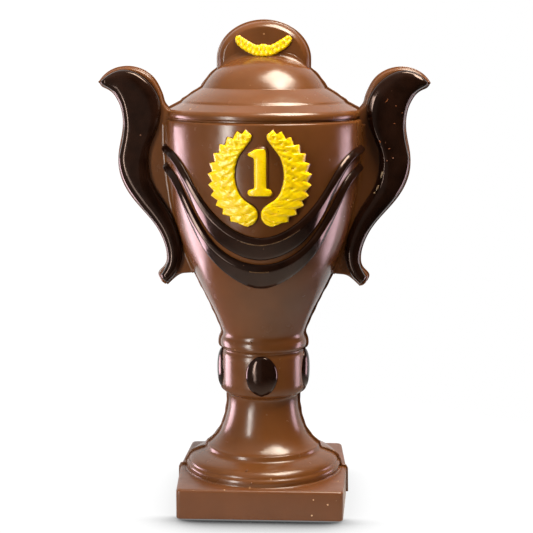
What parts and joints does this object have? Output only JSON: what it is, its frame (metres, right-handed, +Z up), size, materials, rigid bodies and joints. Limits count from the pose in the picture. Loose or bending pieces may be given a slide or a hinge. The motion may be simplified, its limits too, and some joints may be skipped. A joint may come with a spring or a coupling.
{
  "type": "chocolate trophy cup",
  "caption": "Moulded chocolate trophy cup on a square plinth, with side handles, draped swags, a laurel wreath round a numeral, and a domed lid with a rounded tab.",
  "frame": {"origin": "centre of the plinth's flat underside", "axes": "+Z up along the cup's axis, -Y towards the front face, +X to the right seen from the front"},
  "size_m": [0.1356, 0.0844, 0.2],
  "materials": {
    "milk_chocolate": "satin milk chocolate",
    "dark_chocolate": "glossy dark chocolate",
    "yellow_cocoa_butter": "satin yellow coloured cocoa butter"
  },
  "bodies": {
    "root": {"body": "milk_chocolate", "jewel_front": "dark_chocolate", "jewel_right": "dark_chocolate", "jewel_back": "dark_chocolate", "jewel_left": "dark_chocolate", "handle_panel_right_front": "dark_chocolate", "handle_panel_left_front": "dark_chocolate", "handle_panel_right_back": "dark_chocolate", "handle_panel_left_back": "dark_chocolate", "swag_upper_front": "dark_chocolate", "swag_lower_front": "dark_chocolate", "swag_upper_back": "dark_chocolate", "swag_lower_back": "dark_chocolate", "wreath_right_front": "yellow_cocoa_butter", "wreath_left_front": "yellow_cocoa_butter", "wreath_right_back": "yellow_cocoa_butter", "wreath_left_back": "yellow_cocoa_butter", "numeral_front": "yellow_cocoa_butter", "numeral_back": "yellow_cocoa_butter", "tab_laurel_front": "yellow_cocoa_butter", "tab_laurel_back": "yellow_cocoa_butter"}
  },
  "joints": []
}
